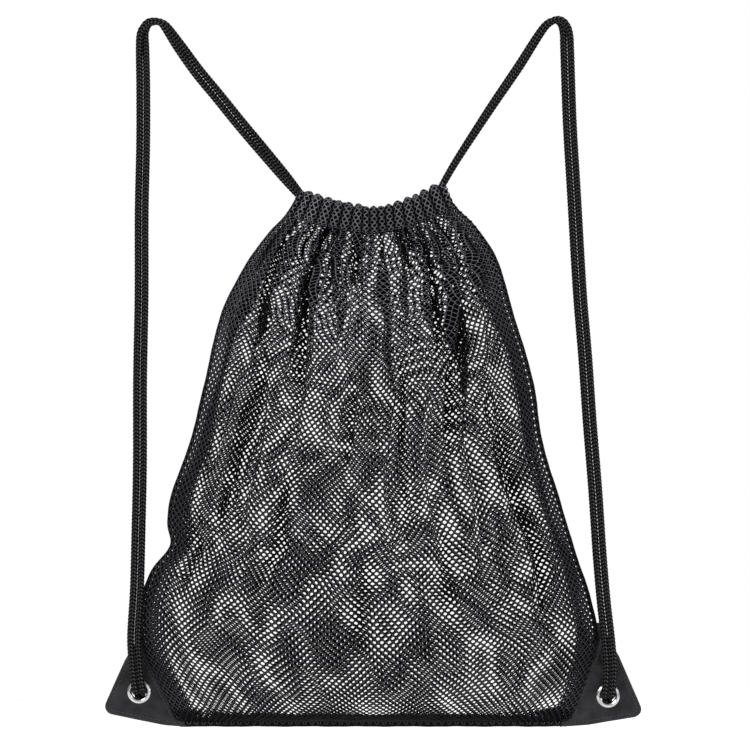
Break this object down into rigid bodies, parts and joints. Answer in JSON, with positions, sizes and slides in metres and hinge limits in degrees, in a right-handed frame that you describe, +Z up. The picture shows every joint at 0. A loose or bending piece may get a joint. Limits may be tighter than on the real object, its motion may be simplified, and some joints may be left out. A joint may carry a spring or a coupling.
{
  "type": "drawstring backpack",
  "caption": "Net drawstring backpack with a gathered mouth, doubled cord shoulder straps and corner patches with metal eyelets. The mouth opens and the straps swing forward.",
  "frame": {"origin": "middle of the line between the two pegs that hold the strap loops up, above the middle of the mouth", "axes": "+Z up, +X to the right seen from the front, the front of the bag and the wearer's back at -Y"},
  "size_m": [0.386, 0.1416, 0.5128],
  "materials": {
    "net": "matt knitted polyester net with oval holes",
    "patch_fabric": "smooth tightly woven polyester, slight sheen",
    "seam_tape": "matt woven binding",
    "cord": "braided polyester, soft sheen",
    "eyelet_metal": "bright nickel plate"
  },
  "bodies": {
    "bag": {"front_panel_lower": "net", "back_panel_lower": "net", "side_seam_left": "seam_tape", "side_seam_right": "seam_tape", "bottom_seam": "seam_tape", "corner_patch_left_front": "patch_fabric", "corner_patch_left_back": "patch_fabric", "corner_patch_right_front": "patch_fabric", "corner_patch_right_back": "patch_fabric", "eyelet_left": "eyelet_metal", "eyelet_right": "eyelet_metal", "eyelet_washer_left": "eyelet_metal", "eyelet_washer_right": "eyelet_metal", "knot_left": "cord", "knot_right": "cord", "cord_tips_left": "cord", "cord_tips_right": "cord", "cord_ends_left_front": "cord", "cord_ends_left_back": "cord", "cord_ends_right_front": "cord", "cord_ends_right_back": "cord"},
    "mouth_front": {"front_panel_upper": "net", "casing_front": "net", "channel_cord_left_front": "cord", "channel_cord_right_front": "cord"},
    "mouth_back": {"back_panel_upper": "net", "casing_back": "net", "channel_cord_left_back": "cord", "channel_cord_right_back": "cord"},
    "strap_left": {"strap_left_front": "cord", "strap_left_back": "cord"},
    "strap_right": {"strap_right_front": "cord", "strap_right_back": "cord"}
  },
  "joints": [
    {"name": "mouth_front_open", "type": "hinge", "parent": "bag", "child": "mouth_front", "pos_m": [0, -0.045, -0.256], "axis": [1, 0, 0], "range_deg": [0, 15]},
    {"name": "mouth_back_open", "type": "hinge", "parent": "bag", "child": "mouth_back", "pos_m": [0, 0.045, -0.256], "axis": [-1, 0, 0], "range_deg": [0, 15]},
    {"name": "strap_left_swing", "type": "hinge", "parent": "bag", "child": "strap_left", "pos_m": [-0.063, 0, -0.11], "axis": [0.2922, 0.0273, 0.956], "range_deg": [0, 90]},
    {"name": "strap_right_swing", "type": "hinge", "parent": "bag", "child": "strap_right", "pos_m": [0.059, 0, -0.1], "axis": [0.2943, -0.0264, -0.9554], "range_deg": [0, 90]}
  ],
  "couplings": [
    {"joint": "mouth_back_open", "follows": "mouth_front_open", "ratio": 1}
  ]
}
